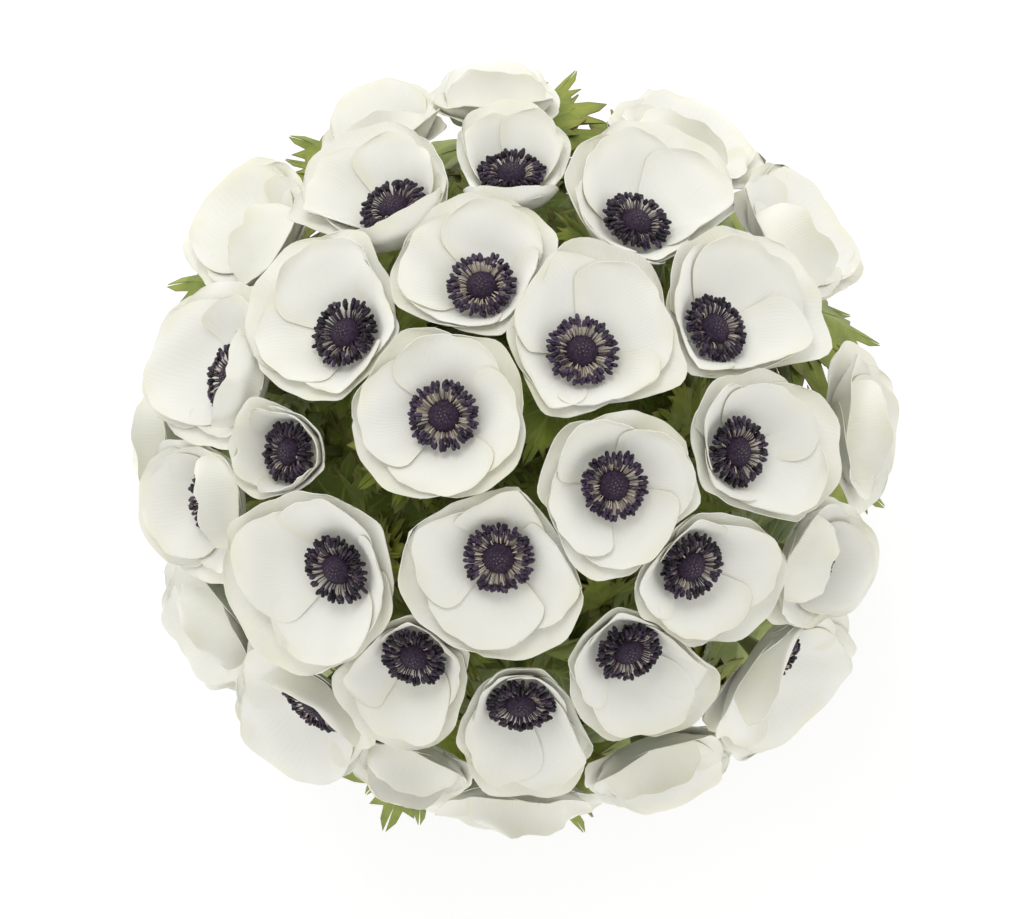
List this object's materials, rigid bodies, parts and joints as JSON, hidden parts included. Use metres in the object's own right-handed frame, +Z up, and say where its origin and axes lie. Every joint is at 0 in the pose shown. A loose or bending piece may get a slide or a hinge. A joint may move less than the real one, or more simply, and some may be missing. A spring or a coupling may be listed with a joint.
{
  "type": "bouquet of anemones",
  "caption": "Domed hand-tied bouquet of white open cup flowers with dark centres, on green stems bound with twine, standing upright on its cut stem ends.",
  "frame": {"origin": "middle of the cut stem ends, on the surface that the bouquet stands on", "axes": "+Z up through the tie to the top of the dome of blooms, +X and +Y level"},
  "size_m": [0.326, 0.3301, 0.3583],
  "materials": {
    "petal_white": "matt",
    "heart_dark": "matt",
    "green": "satin",
    "twine": "matt"
  },
  "bodies": {
    "root": {"heart_crown_1": "heart_dark", "heart_crown_2": "heart_dark", "heart_crown_3": "heart_dark", "heart_crown_4": "heart_dark", "heart_ring_01": "heart_dark", "heart_ring_02": "heart_dark", "heart_ring_03": "heart_dark", "heart_ring_04": "heart_dark", "heart_ring_05": "heart_dark", "heart_ring_06": "heart_dark", "heart_ring_07": "heart_dark", "heart_ring_08": "heart_dark", "heart_ring_09": "heart_dark", "heart_ring_10": "heart_dark", "heart_ring_11": "heart_dark", "heart_ring_12": "heart_dark", "heart_ring_13": "heart_dark", "heart_skirt_01": "heart_dark", "heart_skirt_02": "heart_dark", "heart_skirt_03": "heart_dark", "heart_skirt_04": "heart_dark", "heart_skirt_05": "heart_dark", "heart_skirt_06": "heart_dark", "heart_skirt_07": "heart_dark", "heart_skirt_08": "heart_dark", "heart_skirt_09": "heart_dark", "heart_skirt_10": "heart_dark", "heart_skirt_11": "heart_dark", "heart_skirt_12": "heart_dark", "heart_skirt_13": "heart_dark", "heart_skirt_14": "heart_dark", "heart_skirt_15": "heart_dark", "heart_skirt_16": "heart_dark", "petals_crown_1": "petal_white", "petals_crown_2": "petal_white", "petals_crown_3": "petal_white", "petals_crown_4": "petal_white", "petals_ring_01": "petal_white", "petals_ring_02_03": "petal_white", "petals_ring_04_05": "petal_white", "petals_ring_06": "petal_white", "petals_ring_07_08": "petal_white", "petals_ring_09": "petal_white", "petals_ring_10": "petal_white", "petals_ring_11_12": "petal_white", "petals_ring_13": "petal_white", "petals_skirt_01": "petal_white", "petals_skirt_02": "petal_white", "petals_skirt_03": "petal_white", "petals_skirt_04_05": "petal_white", "petals_skirt_06": "petal_white", "petals_skirt_07_09": "petal_white", "petals_skirt_08": "petal_white", "petals_skirt_10": "petal_white", "petals_skirt_11_12": "petal_white", "petals_skirt_13": "petal_white", "petals_skirt_14": "petal_white", "petals_skirt_15_16": "petal_white", "stems_and_leaves": "green", "twine_tie": "twine"}
  },
  "joints": []
}
